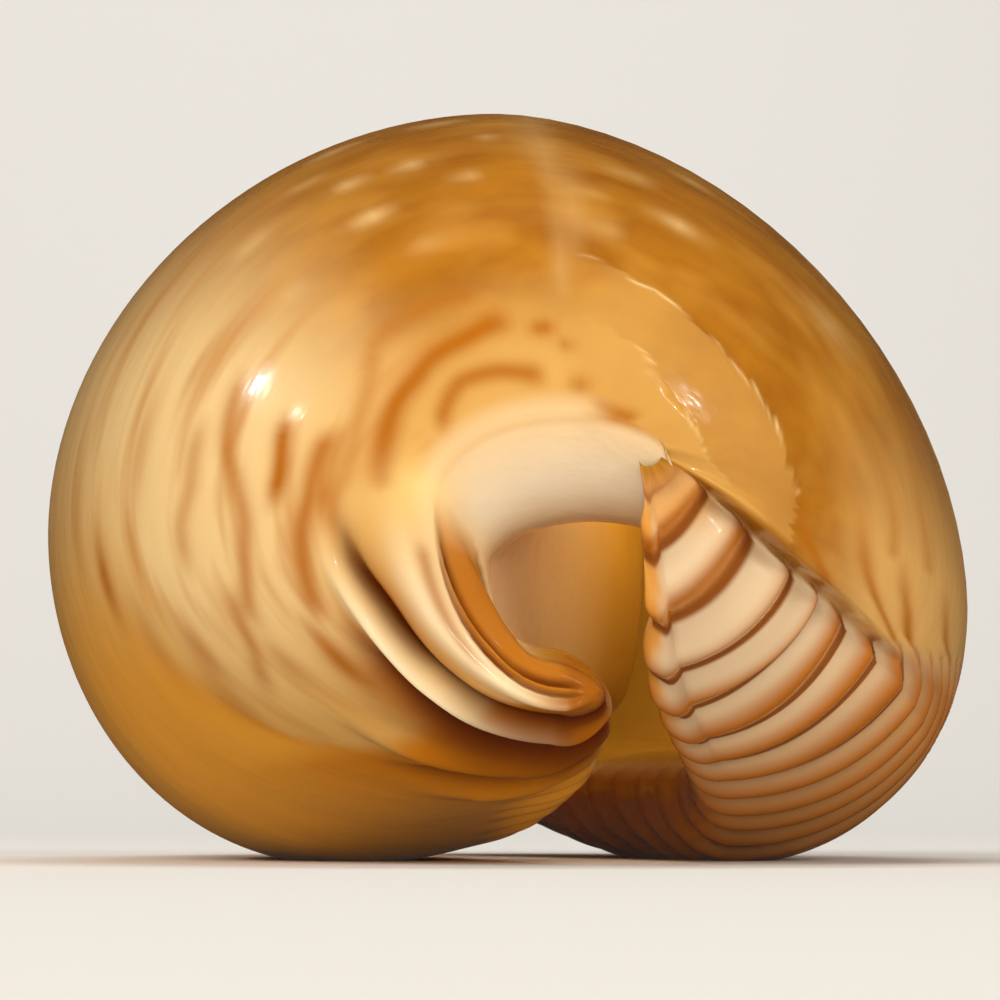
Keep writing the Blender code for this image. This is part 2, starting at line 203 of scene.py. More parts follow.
def outside_corners(turn):
    """The seven points (x, z) of each outside section, from the right lip round to the left.

    turn is 0 at the near rim and a half turn at the far rim, and y = -HALF cos(turn).
    """
    d = np.degrees(turn)
    right_lip = (curve(d, [(0, 1.80), (7, 1.92), (14, 1.90), (21, 2.15), (32, 2.2), (42, 2.67), (52, 3.3),
                           (67, 3.95), (80, 3.45), (90, 2.85), (105, 1.76), (125, 0.6), (145, -0.1),
                           (165, 0.2), (180, 0.75)]),
                 curve(d, [(0, 8.15), (7, 7.3), (14, 6.35), (21, 5.36), (32, 4.3), (42, 3.44), (52, 2.7),
                           (67, 1.85), (80, 1.7), (90, 1.75), (120, 1.9), (150, 2.8), (170, 4.1),
                           (180, 5.3)]))
    right_lobe = (curve(d, [(0, 1.98), (14, 2.35), (32, 3.0), (52, 4.4), (70, 5.2), (90, 5.38),
                            (120, 4.6), (150, 2.9), (170, 1.6), (180, 1.0)]),
                  curve(d, [(0, 8.0), (7, 7.05), (14, 6.05), (21, 4.95), (32, 3.75), (42, 2.65),
                            (52, 1.75), (67, 0.62), (78, -0.02), (88, -0.14), (102, -0.14), (120, 0.35),
                            (150, 2.0), (170, 3.8), (180, 5.15)]))
    right_side = (grow(turn, 2.3, RIGHT_REACH, 1.7, 0.97), grow(turn, 8.4, 5.55, 5.6, 1.2))
    top = (grow(turn, 0.22, -0.29, 0.0), grow(turn, 9.1, HEIGHT, 7.2, 0.94, 0.95))
    left_side = (grow(turn, -2.39, -LEFT_REACH, -1.6, 0.93, 0.95), grow(turn, 7.38, 7.7, 5.6))
    left_lobe = (curve(d, [(0, 0.35), (20, 0.1), (40, -0.8), (60, -2.2), (90, -3.7), (120, -3.3),
                           (150, -2.4), (170, -1.5), (180, -1.0)]),
                 curve(d, [(0, 3.3), (20, 2.8), (40, 1.85), (60, 0.85), (76, 0.0), (88, -0.14),
                           (102, -0.14), (120, 0.35), (150, 2.0), (170, 3.8), (180, 5.0)]))
    left_lip = (curve(d, [(0, 0.95), (20, 1.27), (35, 1.45), (50, 1.47), (60, 1.26), (70, 0.93),
                          (80, 0.58), (100, 0.0), (125, -1.0), (145, -1.6), (165, -1.4), (180, -0.9)]),
                curve(d, [(0, 3.6), (20, 3.2), (30, 2.95), (50, 2.36), (70, 1.6), (80, 1.45), (100, 1.45),
                          (120, 1.8), (150, 2.7), (170, 4.0), (180, 5.2)]))
    return np.array([right_lip, right_lobe, right_side, top, left_side, left_lobe, left_lip])


def inside_corners(turn, outside):
    """The same seven points for the wall's inside: rim, throat, then the wide hollow.

    On the left the near throat runs on inwards as the smooth pillar that the shell coils round.
    """
    corners = outside.copy()
    crest_near = outside_corners(np.zeros((1, 1)))
    crest_far = outside_corners(np.full((1, 1), math.pi))
    right_edge = outside_corners(np.full((1, 1), RIM_NEAR))[1]
    y = -HALF * np.cos(turn)
    open_near = ramp(y, -HALF * math.cos(RIM_NEAR), -5.0)
    open_behind_pillar = ramp(y, -5.5, 3.0)
    along_pillar = np.clip((y + HALF * math.cos(RIM_NEAR)) / (HALF * math.cos(RIM_NEAR) - 4.0), 0, 1)
    open_far = ramp(-y, -HALF * math.cos(RIM_FAR), -5.0)
    roll_near = np.sin(np.clip(turn / RIM_NEAR, 0, 1) * math.pi / 2)
    roll_far = np.sin(np.clip((math.pi - turn) / RIM_FAR, 0, 1) * math.pi / 2)
    for k in range(1, 6):
        for axis in (0, 1):
            near_edge = crest_near[k, axis]
            far_edge = crest_far[k, axis]
            middle = CAVITY[k - 1][axis]
            near = near_edge + (THROAT_NEAR[k - 1][axis] - near_edge) * roll_near
            if k == 1:
                late = 1 - np.sqrt(1 - roll_near**2)
                near = outside[k, axis] + (THROAT_NEAR[0][axis] - right_edge[axis]) * late
                near = np.where(turn < RIM_NEAR, near, THROAT_NEAR[0][axis])
            far = far_edge + (THROAT_FAR[k - 1][axis] - far_edge) * roll_far
            opening = open_near
            if k > 3:
                near = near + (PILLAR[k - 4][axis] - THROAT_NEAR[k - 1][axis]) * along_pillar
                opening = open_behind_pillar
            corners[k, axis] = np.where(y < 0, near + (middle - near) * opening,
                                        far + (middle - far) * open_far)
    return corners


def ring(corners, around):
    """Joins the seven points by six quarter ellipses, whose tangents are upright and level in turn.

    The whole part of around picks the quarter, and the rest of it is the share of its 90 degrees.
    Its sine and cosine are raised to FLATNESS, which flattens the quarter where that is over 1.
    """
    part = np.clip(np.floor(around).astype(int), 0, 5)
    angle = (around - part) * math.pi / 2
    s = np.sin(angle) ** FLATNESS[part]
    c = np.maximum(np.cos(angle), 0) ** FLATNESS[part]
    upright_first = part % 2 == 0
    fx = np.where(upright_first, 1 - c, s)[:, None]
    fz = np.where(upright_first, s, 1 - c)[:, None]
    columns = np.arange(len(around))
    a, b = corners[part, :, :, columns], corners[part + 1, :, :, columns]
    return (a[:, 0] + (b[:, 0] - a[:, 0]) * fx).T, (a[:, 1] + (b[:, 1] - a[:, 1]) * fz).T


def outward(grid):
    """Unit normals of a grid of points: the cross product of its steps along rows and columns."""
    n = np.cross(np.gradient(grid, axis=0), np.gradient(grid, axis=1))
    return n / np.maximum(np.linalg.norm(n, axis=-1, keepdims=True), 1e-9)


# Ribs, folds and marks are all placed on the sheet by two numbers: d, the turn in degrees from
# the near rim, and t, the place round the section (0 right lip, 3 top of the back, 6 left lip).

# Grooves between the outer lip's ribs, counted along the lip's edge
GROOVES = ((0, -0.6), (14.5, 1), (24.5, 2), (34, 3), (40, 4), (45, 5), (49, 6), (53, 7), (57.5, 8), (67, 10),
           (90, 14), (168, 26), (180, 27.5))
# How far, in degrees of turn, the near ribs lean towards the rim on their way up to the crease,
# and how far they bend round beyond it, along the shell's side
LEAN = ((0, 0), (8, 6.3), (27, 7.5), (33, 8), (40, 6), (45, 4.5), (52, 1.5), (60, 0))
BEND = ((1.6, 0), (1.66, 2), (1.72, 6), (1.79, 11), (1.9, 16), (2.3, 19))
CREASE = 1.64


def leaning(d_lip, t):
    """Turn of a line that leaves the lip at d_lip and leans as the ribs do: d = d_lip - lean(d)."""
    share = ramp(t, 0.65, 1.55) * (1 - ramp(t, 1.9, 2.6))
    d = d_lip + 0 * share
    for _ in range(12):
        d = 0.5 * d + 0.5 * (d_lip - curve(d, LEAN) * share)
    return np.maximum(d, 0)


def rib_count(d, t):
    """The count over the place that the leaning, bending line through (d, t) leaves the lip at.

    Whole numbers are the grooves between ribs.
    """
    return curve(d + curve(d, LEAN) * ramp(t, 0.65, 1.55) + curve(t, BEND), GROOVES)


def pad_extent(d, t):
    """1 on the ribbed pad: up to the crease near the rim, fading on the shell's side further on."""
    edge = curve(d, ((0, CREASE), (36, CREASE), (46, 1.70), (62, 1.80), (90, 1.95), (180, 1.9)))
    soft = 0.03 + 0.06 * ramp(d, 36, 50) + 0.25 * ramp(d, 60, 85)
    return (1 - ramp(t, edge - soft, edge + 0.4 * soft)) * ramp(d, 0, 9) * (1 - ramp(d, 158, 176))


# Folds of the near end's left side: (course of d over t, half width in degrees, height in mm).
# Outside: cream fold, maroon furrow, cream fold, brown furrow, fold, furrow, fold.
FOLDS = (
    (((3.8, 4.2), (4.0, 3.8), (4.36, 3.4), (4.57, 2.2), (4.73, 1.8), (4.93, 3.0), (6.0, 5.0)), 2.6, 0.20),
    (((3.9, 11.8), (4.18, 11.2), (4.38, 9.4), (4.61, 10.2), (4.8, 12.3), (4.95, 14.0), (5.25, 17.0),
      (5.58, 16.0), (6.0, 13.0)), 1.5, -0.62),
    (((3.9, 15.0), (4.17, 14.0), (4.42, 12.6), (4.65, 14.0), (4.83, 17.5), (4.99, 20.5), (5.38, 23.5),
      (6.0, 20.5)), 1.6, 0.34),
    (((4.2, 19.0), (4.38, 17.0), (4.5, 17.5), (4.73, 22.4), (4.97, 28.0), (5.35, 30.5), (5.65, 30.0),
      (6.0, 27.0)), 2.4, -0.42),
    (((4.6, 32.0), (4.96, 35.5), (5.25, 37.0), (5.48, 35.5), (6.0, 33.0)), 2.2, 0.26),
    (((4.8, 41.0), (5.2, 42.5), (6.0, 38.5)), 1.9, -0.34),
    (((4.9, 47.0), (5.32, 47.0), (5.5, 44.5), (6.0, 43.0)), 2.0, 0.20),
)
# Thickness in mm of each callus layer over the right shoulder
LAYER_THICKNESS = 0.05
# Where each fold fades in, from t to t
FOLD_STARTS = ((3.9, 4.4), (4.02, 4.3), (4.05, 4.45), (4.36, 4.62), (4.55, 4.85), (4.75, 5.0), (4.85, 5.1))
# Inside the rim: thin furrow, thin fold, thin furrow, broad orange fold, thin furrow
INNER_FOLDS = (
    (((4.3, 1.0), (4.65, 2.4), (4.8, 1.6), (5.6, 1.0)), 0.8, -0.10),
    (((4.15, 1.5), (4.46, 3.0), (4.6, 4.0), (4.8, 3.2), (5.6, 2.4)), 1.2, 0.08),
    (((4.05, 1.5), (4.28, 3.6), (4.46, 5.6), (4.6, 6.4), (4.76, 5.4), (5.6, 4.5)), 0.9, -0.16),
    (((3.95, 3.0), (4.1, 7.0), (4.25, 10.5), (4.4, 13.0), (4.6, 13.0), (4.8, 10.0), (5.6, 8.0)), 4.2, 0.20),
    (((3.88, 7.0), (3.95, 12.0), (4.06, 16.0), (4.24, 20.0), (4.65, 20.0), (4.86, 15.0), (5.6, 12.0)),
     1.5, -0.12),
)


def fold(d, t, course, width):
    """A bell across the course."""
    return bump(d, curve(t, course), width)


def glaze_edges(t):
    """Where the callus layers over the right shoulder end, as d over t: the outer edge and the inner."""
    outer = curve(t, ((1.7, 19.0), (2.1, 17.5), (2.4, 16.8), (2.56, 18.2), (2.8, 21.5), (3.0, 24.0)))
    inner = curve(t, ((1.7, 15.5), (1.78, 9.5), (2.03, 5.0), (2.44, 5.5), (2.68, 10.2), (2.9, 12.5)))
    # Small waves of unlike lengths make both edges ragged
    jag = 0.5 * np.sin(61 * t) * np.sin(23 * t + 1) + 0.3 * np.sin(143 * t + 2)
    return outer + jag, inner + 0.7 * jag


def relief(turn, around):
    """Height of the ribs, folds and crease over the smooth form, in millimetres."""
    d = np.degrees(turn)
    t = around[None, :] + 0 * d

    # Each rib rises gently out of its upper groove, is highest low down, and drops steeply to the next
    phase = np.mod(rib_count(d, t), 1.0)
    profile = ramp(phase, -0.05, 0.55) - ramp(phase, 0.50, 1.0) - 0.45
    strength = 0.22 + 0.24 * bump(d, 22, 13) - 0.06 * ramp(d, 50, 80)
    strength = strength * (0.35 + 0.65 * ramp(t, 0.05, 0.5))
    strength = strength * (1 - 0.45 * ramp(t, 0.8, 1.9) * ramp(d, 60, 90))
    strength = strength * (1 - 0.75 * (1 - ramp(t, 0.2, 0.7)) * ramp(d, 44, 60))
    resting_pad = 1 - bump(t, 1.0, 0.28) * bump(d, 94, 14)
    tip = ramp(d, 2, 13 - 6 * ramp(t, 0.3, 1.0))
    ribs = strength * tip * pad_extent(d, t) * resting_pad * profile

    # The back's glaze stands over the ribbed pad along a sharp crease
    below = np.exp(-np.maximum(CREASE - t, 0) / 0.22)
    crease = -0.70 * below * (1 - ramp(t, CREASE, CREASE + 0.03)) * ramp(d, 3, 12) * (1 - ramp(d, 34, 50))
    ledge = 0.12 * bump(t, CREASE + 0.07, 0.05) * ramp(d, 2, 9) * (1 - ramp(d, 30, 44))

    folds = sum(height * fold(d, t, course, width) * ramp(t, *start)
                for (course, width, height), start in zip(FOLDS, FOLD_STARTS))
    folds = folds * (1 - 0.75 * ramp(t, 5.1, 5.8)) * (1 - ramp(t, 4.9, 5.6) * (1 - ramp(d, 6, 18)))
    folds = folds + 0.16 * bump(d, 0.0, 5.0) * bump(t, 3.98, 0.20)

    # Short teeth along the rest of the left lip
    teeth = 0.17 * np.cos(2 * math.pi * curve(d, GROOVES) + 2.0) * ramp(d, 46, 56) * (1 - ramp(d, 158, 174))
    teeth = teeth * ramp(t, 5.1 + 0.35 * ramp(d, 40, 90), 5.75)

    # Thin layers over the right shoulder
    shoulder = ramp(t, 1.75, 2.0) * (1 - ramp(t, 2.75, 2.95))
    layers = shoulder * LAYER_THICKNESS * sum(1 - ramp(d, edge - 0.4, edge + 0.4) for edge in glaze_edges(t))
    return ribs + crease + ledge + folds + teeth + layers


def inner_relief(turn, around):
    """Height of the folds inside the near rim, in millimetres, zero on the rim itself."""
    d = np.degrees(turn)
    t = around[None, :] + 0 * d
    folds = sum(height * fold(d, t, course, width) for course, width, height in INNER_FOLDS)
    return folds * ramp(t, 3.95, 4.25) * (1 - ramp(t, 4.9, 5.5)) * ramp(d, 0, 1.5)


def surfaces(turn, around_outside, around_inside):
    """The wall's outside and inside as grids of points that share their four edges.

    turn holds the turn of each row where it leaves the right lip.
    """
    leant = np.radians(leaning(np.degrees(turn)[:, None], around_outside[None, :]))
    x, z = ring(outside_corners(leant), around_outside)
    outer = np.stack([x, -HALF * np.cos(leant), z], -1)
    lift = relief(leant, around_outside)[..., None] * outward(outer)
    outer = outer + lift
    outer[..., 2] = np.maximum(outer[..., 2], 0)

    # The rim rolls inwards over a quarter turn before the wall's inside opens out
    turn = turn[:, None] + 0 * around_inside[None, :]
    x, z = ring(inside_corners(turn, outside_corners(turn)), around_inside)
    section_y = -HALF * np.cos(turn)
    roll_near = 1 - np.cos(np.clip(turn / RIM_NEAR, 0, 1) * math.pi / 2)
    roll_far = 1 - np.cos(np.clip((math.pi - turn) / RIM_FAR, 0, 1) * math.pi / 2)
    near = -HALF + HALF * (1 - math.cos(RIM_NEAR)) * roll_near
    far = HALF - HALF * (1 - math.cos(RIM_FAR)) * roll_far
    rolled = np.where(turn < RIM_NEAR, near, np.where(turn > math.pi - RIM_FAR, far, section_y))
    between_lips = ramp(around_inside, 0, 0.8) * (1 - ramp(around_inside, 5.2, 6))
    # Behind the outer lip's ribs the inside keeps a little further back, which thickens the wall
    right_side = (ramp(around_inside, 0, 0.4) * (1 - ramp(around_inside, 1.6, 2.4)))[None, :]
    beside_rim = ramp(turn, 0, math.radians(6)) * (1 - ramp(turn, RIM_NEAR, math.radians(60)))
    further_back = RIB_BACKING * right_side * beside_rim
    deep_y = section_y + (rolled - section_y) * between_lips[None, :] + further_back
    inner = np.stack([x, deep_y, z], -1)
    inner = inner - inner_relief(turn, around_inside)[..., None] * outward(inner)

    # Ribs and folds carry on over the lips and rims and fade out on the inside
    t = around_inside[None, :, None]
    d = np.degrees(turn)[..., None]
    crest = lift[:, np.searchsorted(around_outside, around_inside - 1e-9)]
    away = ramp(t, 0, 0.7) * (1 - ramp(t, 5.2, 6))
    inner = inner + lift[:, :1] * (1 - ramp(t, 0, 0.7)) + lift[:, -1:] * ramp(t, 5.2, 6)
    inner = inner + crest[:1] * (1 - ramp(d, 0, 14)) * away + crest[-1:] * ramp(d, 168, 180) * away
    origin = np.array([CENTRE[0], CENTRE[1], 0.0])
    return outer - origin, inner - origin, leant


def wobble(a, b):
    """Gentle unevenness between about -1 and 1, the same every time."""
    return (np.sin(1.7 * a + 2.1 * np.sin(0.9 * b + 1)) + np.sin(2.9 * a - 1.3 * b + 2)
            + np.sin(0.7 * a + 3.1 * b + 4 + np.sin(1.9 * a))) / 3


def colour_marks(d, t, inside):
    """What the colour needs to know of each point, as arrays from 0 to 1."""
    outside = 1 - inside
    marks = {}

    # Outer lip: the count of its ribs, and how much of their brown shows; beyond the crease a few
    # of their dark lines run on up the shell's paler side as soft tails
    count = rib_count(d, t)
    marks["rib"] = np.floor(count) + np.mod(count, 1.0) ** (1 - 0.45 * ramp(d, 24, 38))
    marks["pad"] = pad_extent(d, t) * outside
    tails = 0
    for course, width, start, stop, strength in TAILS:
        ends = ramp(t, start - 0.03, start) * (1 - ramp(t, start, stop)) ** 0.7
        tails = np.maximum(tails, strength * bump(d, curve(t, course), width) * ends)
    marks["tail"] = np.clip(tails, 0, 1) * (1 - marks["pad"]) * outside
    side = ramp(t, 1.56, 1.66) * (1 - ramp(t, 1.90, 2.35)) * ramp(d, 20, 36) * (1 - ramp(d, 80, 120))
    marks["side"] = 0.85 * side * (1 - marks["pad"]) * outside
    marks["pad_low"] = marks["pad"] * np.maximum(ramp(d, 30, 66), ramp(d, 44, 56) * (1 - ramp(t, 0.15, 0.6)))
    # The pad's underside gets a darker orange: partly its own colour, partly painted shade
    marks["under"] = marks["pad"] * ramp(d, 50, 66) * (1 - ramp(t, 0.4, 0.9))
    lower = ramp(d, 16, 30)
    margin = 1 - ramp(t + 0.06 * wobble(0.9 * d, 4 * t), 0.55 - 0.25 * lower, 1.05 - 0.33 * lower)
    marks["margin"] = marks["pad"] * np.maximum(margin, 1 - ramp(d, 5, 9 + 3 * t)) * (1 - ramp(d, 46, 60))

    # Left flank: cream, then deep orange brown towards the base. The base's orange is its own colour, painted
    # lighter as painted light from below, and lighter still on its far part.
    base_edge = curve(d, ((0, 4.9), (22, 4.80), (35, 4.77), (42, 4.69), (47, 4.5), (54, 4.36), (90, 4.3),
                          (180, 4.3)))
    base_edge = base_edge + 0.02 * wobble(0.5 * d, 1.0)
    soft = 0.05 + 0.27 * ramp(d, 40, 60)
    base = ramp(t, base_edge - soft, base_edge + soft) * (1 - ramp(t, 5.7, 5.95))
    marks["flank"] = ramp(t, 3.3, 3.8) * (1 - base) * (1 - 0.5 * ramp(d, 40, 80)) * outside
    marks["base"] = base * outside * ramp(d, 3, 8)
    # The far part of the base gets a lighter orange: painted light from below over the base's own colour
    marks["base_far_with_painted_light"] = marks["base"] * np.maximum(ramp(d, 38, 62),
                                                   ramp(d, 28, 42) * (1 - ramp(t, 4.62, 4.78)))
    marks["golden"] = ramp(t, base_edge - 0.55, base_edge - 0.05) * ramp(d, 10, 26) * outside
    marks["rim"] = (1 - ramp(d, 4, 24)) * ramp(t, 2.5, 3.0) * (1 - ramp(t, 4.6, 5.0)) * outside
    marks["roof"] = (inside + outside * (1 - ramp(d, 0, 3)) * ramp(t, 2.6, 2.9)) * (1 - ramp(t, 4.7, 5.1))
    marks["roof_pale"] = inside * bump(d, 14, 9) * (1 - ramp(t, 3.6, 4.1))
    marks["throat"] = inside * ramp(d + 4 * np.abs(t - 3.1), 22, 34)
    marks["hollow"] = inside * np.maximum(ramp(d + 6 * np.abs(t - 3.1), 34, 60), ramp(t, 4.7, 5.3))
    marks["deep"] = inside * np.maximum(ramp(d, 46, 68), ramp(t, 4.6, 5.1))

    # Callus layers over the right shoulder, with a thin bright edge
    outer_edge, inner_edge = glaze_edges(t)
    shoulder = ramp(t, CREASE + 0.02, CREASE + 0.08) * (1 - ramp(t, 2.75, 2.95)) * outside
    marks["glaze"] = shoulder * (0.6 * (1 - ramp(d, outer_edge - 0.4, outer_edge + 0.4))
                                 + 0.4 * (1 - ramp(d, inner_edge - 0.4, inner_edge + 0.4)))
    broken = ramp(wobble(9 * t, 0.6 * d), -0.3, 0.5)
    marks["glaze_edge"] = shoulder * ramp(t, 1.9, 2.05) * broken * np.maximum(bump(d, outer_edge, 0.35),
                                                                               0.6 * bump(d, inner_edge, 0.3))

    # Brown arcs round the upper left of the near end, and streaks along the left flank
    shaky = d + 0.35 * wobble(0.25 * d, 2.2 * t)
    arcs = 0
    for course, width, start, stop, strength in ARCS:
        ends = ramp(t, start, start + 0.09) * (1 - ramp(t, stop - 0.11, stop))
        arcs = arcs + strength * bump(shaky, curve(t, course), ARC_SPREAD * width) * ends
    for place_d, place_t, size_d, size_t, strength in STREAKS:
        arcs = arcs + strength * bump(shaky, place_d, ARC_SPREAD * size_d) * bump(t, place_t, size_t)
    marks["streak"] = np.clip(arcs, 0, 1) * outside

    # Folds of the left: cream crests, dark furrows that widen towards the lip, an orange fold
    # inside the rim
    furrow = crest = shade = 0
    for (course, width, height), (start, full), sides in zip(FOLDS, FOLD_STARTS, SHADES):
        shown = ramp(t, start, full)
        if height < 0:
            middle = curve(t, course)
            broad = 0.8 * width * (1 + 3.0 * ramp(t, 4.6, 5.0) * (full < 4.7))
            furrow = furrow + shown * fold(d, t, course, broad)
            shade = np.maximum(shade, shown * bump(d, middle, np.where(d < middle, *sides)))
        elif full < 4.6:
            crest = crest + shown * fold(d, t, course, width)
    thin = 0.6 * bump(d, 1.4, 0.9) * ramp(t, 4.12, 4.2) * (1 - ramp(t, 4.5, 4.7))
    marks["shade"] = np.clip(shade + thin, 0, 1) * outside
    inner_furrow = sum(fold(d, t, course, width) for course, width, height in INNER_FOLDS if height < 0)
    marks["furrow"] = np.clip(furrow * outside + 0.8 * inner_furrow * inside * ramp(t, 3.98, 4.25)
                              * (1 - ramp(t, 5.0, 5.5)), 0, 1)
    marks["crest"] = np.clip(crest, 0, 1) * ramp(t, 3.9, 4.1) * (1 - ramp(t, 4.75, 5.35)) * outside
    orange_edge = curve(t, INNER_FOLDS[4][0])
    marks["orange_fold"] = inside * (1 - ramp(d, orange_edge, orange_edge + 1.5)) * ramp(t, 3.93, 4.15)
    # A painted highlight: a pale gold glint on the bulge at the top of the orange fold, near the rim
    marks["painted_gold_highlight"] = bump(d, 2.0, 4.5) * bump(t, 3.95, 0.16) * (1 - 0.5 * inside)
    marks["lip"] = ramp(t, 4.7, 5.2) * (1 - ramp(d, 16, 24)) * (1 - inside) + inside * ramp(t, 4.9, 5.3)

    # Cream spots on the back, stretched round the shell, and the line where its halves meet
    spots = 0
    for place_d, place_t, size_d, size_t, strength in SPOTS + far_spots():
        spots = spots + strength * (bump(shaky, place_d, SPOT_SPREAD[0] * size_d)
                                    * bump(t, place_t, SPOT_SPREAD[1] * size_t))
    marks["spot"] = np.clip(spots, 0, 1) * outside
    line = bump(t, 2.95 + 0.02 * np.sin(d * 0.15), 0.035)
    marks["line"] = line * ramp(d, 12, 20) * (1 - ramp(d, 150, 168)) * outside
    return marks


# How far each furrow's brown reaches over its near side and its far side, in degrees
SHADES = (None, (4.2, 0.9), None, (1.3, 6.5), None, (1.5, 3.0), None)

# Tails and arcs as (course of d over t, half width in degrees, first t, last t, strength)
TAILS = (
    (((1.57, 36), (1.60, 34), (1.65, 28), (1.74, 22), (1.85, 19), (2.0, 16.5)), 1.6, 1.58, 2.02, 1.0),
    (((1.62, 50), (1.65, 48), (1.68, 43), (1.74, 35), (1.84, 31), (1.98, 29), (2.1, 28)),
     1.8, 1.64, 2.10, 0.9),
    (((1.68, 54), (1.70, 52), (1.72, 45), (1.79, 42), (1.84, 40), (1.95, 38)), 1.8, 1.70, 1.96, 1.0),
    (((1.74, 64), (1.78, 61), (1.82, 55), (1.92, 52), (2.0, 51)), 2.0, 1.76, 1.98, 0.9),
    (((1.85, 36.5), (1.90, 36), (2.02, 36), (2.2, 35)), 1.5, 1.92, 2.25, 0.5),
    (((1.9, 46), (1.98, 45), (2.1, 44)), 1.5, 1.96, 2.2, 0.45),
    (((1.75, 26.5), (1.85, 25), (2.05, 22), (2.2, 20)), 1.4, 1.80, 2.2, 0.35),
)
ARCS = (
    (((3.0, 12.6), (3.19, 12.5), (3.27, 11.8), (3.39, 11.2), (3.48, 9.9), (3.58, 9.0), (3.68, 7.8),
      (3.79, 6.8), (3.95, 5.6)), 1.5, 3.10, 4.02, 1.0),
    (((3.0, 4.4), (3.11, 4.8), (3.26, 6.0), (3.36, 6.2), (3.42, 5.5), (3.52, 3.7), (3.59, 2.5), (3.65, 1.5)),
     1.1, 3.02, 3.62, 0.85),
    (((3.2, 17.2), (3.31, 17.8), (3.42, 17.8), (3.5, 17.2), (3.54, 15.5), (3.65, 12.8), (3.79, 11.0),
      (3.9, 10.6), (4.02, 12.0), (4.15, 13.5)), 1.3, 3.15, 4.15, 0.5),
    (((3.7, 13.4), (3.77, 13.2), (3.92, 12.8), (4.05, 14.0), (4.1, 15.0)), 0.8, 3.7, 4.1, 0.35),
    (((3.75, 14.8), (3.82, 15.0), (3.99, 15.5), (4.1, 17.0), (4.21, 18.2), (4.31, 19.2), (4.4, 20.0)),
     1.2, 3.75, 4.4, 0.85),
    (((3.7, 21.2), (3.81, 20.8), (3.93, 19.8), (4.01, 20.2), (4.1, 21.0)), 1.3, 3.74, 4.08, 1.0),
    (((3.65, 31.0), (3.77, 30.2), (3.87, 29.0), (3.96, 26.5), (4.07, 25.2), (4.17, 26.5), (4.3, 29.5)),
     1.3, 3.68, 4.38, 0.7),
    (((3.8, 34.0), (3.96, 34.0), (4.08, 36.0), (4.2, 36.5)), 1.2, 3.8, 4.22, 0.5),
    (((4.2, 30.5), (4.26, 31.5), (4.37, 33.2), (4.47, 36.5), (4.55, 39.0)), 1.2, 4.2, 4.55, 0.6),
    (((2.4, 0.8), (2.6, 0.6), (2.8, 1.2)), 0.8, 2.45, 2.85, 0.8),
)

# How far the soft edges of arcs and streaks reach, and those of spots in d and in t, for a size of 1
ARC_SPREAD = 1.25
SPOT_SPREAD = (1.5, 0.62)

# Streaks and spots as (d, t, half size in d, half size in t, strength)
STREAKS = (
    (10.8, 3.04, 1.2, 0.045, 0.9), (8.2, 2.95, 1.0, 0.04, 0.6), (3.4, 2.88, 1.0, 0.06, 0.6),
    (44.8, 4.49, 1.6, 0.10, 0.5), (54.8, 4.15, 1.5, 0.10, 0.9), (41.8, 4.36, 1.5, 0.09, 0.6),
    (15.5, 4.46, 1.8, 0.10, 0.9), (22.2, 4.44, 1.3, 0.09, 0.7), (23.5, 4.53, 1.4, 0.08, 0.7),
    (30.5, 4.46, 1.4, 0.08, 0.5), (38.0, 3.72, 1.4, 0.09, 0.35), (45.0, 3.9, 1.5, 0.12, 0.4),
    (50.0, 4.3, 1.6, 0.12, 0.4), (62.0, 4.0, 1.8, 0.14, 0.4),
)
SPOTS = (
    (36.8, 3.31, 1.2, 0.055, 1.0), (47.8, 3.49, 1.1, 0.06, 0.7), (47.0, 3.30, 1.2, 0.04, 0.8),
    (45.8, 3.20, 1.1, 0.035, 0.8), (39.2, 3.12, 1.0, 0.03, 0.7), (28.5, 2.85, 1.3, 0.05, 0.5),
    (44.0, 2.81, 1.2, 0.04, 0.7), (35.8, 2.71, 1.1, 0.06, 0.9), (53.5, 2.71, 1.1, 0.04, 0.6),
    (42.0, 2.42, 2.0, 0.07, 0.5), (35.8, 2.89, 0.9, 0.03, 0.5), (33.0, 3.52, 1.1, 0.06, 0.4),
    (54.0, 3.35, 1.1, 0.05, 0.5), (27.5, 3.25, 1.2, 0.06, 0.3), (50.5, 3.05, 1.0, 0.03, 0.5),
)


def far_spots():
    """Spots of the same kind on the part of the back that the photograph doesn't show."""
    chance = np.random.default_rng(7)
    places = zip(chance.uniform(60, 150, 46), chance.uniform(2.2, 3.8, 46), chance.uniform(0.4, 0.9, 46))
    return tuple((d, t, 1.2, 0.06, strength) for d, t, strength in places)


def spread(stretches, end):
    """Places from 0 to end, evenly spaced within each stretch."""
    starts = [start for start, steps in stretches] + [end]
    parts = [np.linspace(starts[i], starts[i + 1], steps, endpoint=False)
             for i, (start, steps) in enumerate(stretches)]
    return np.append(np.concatenate(parts), end)


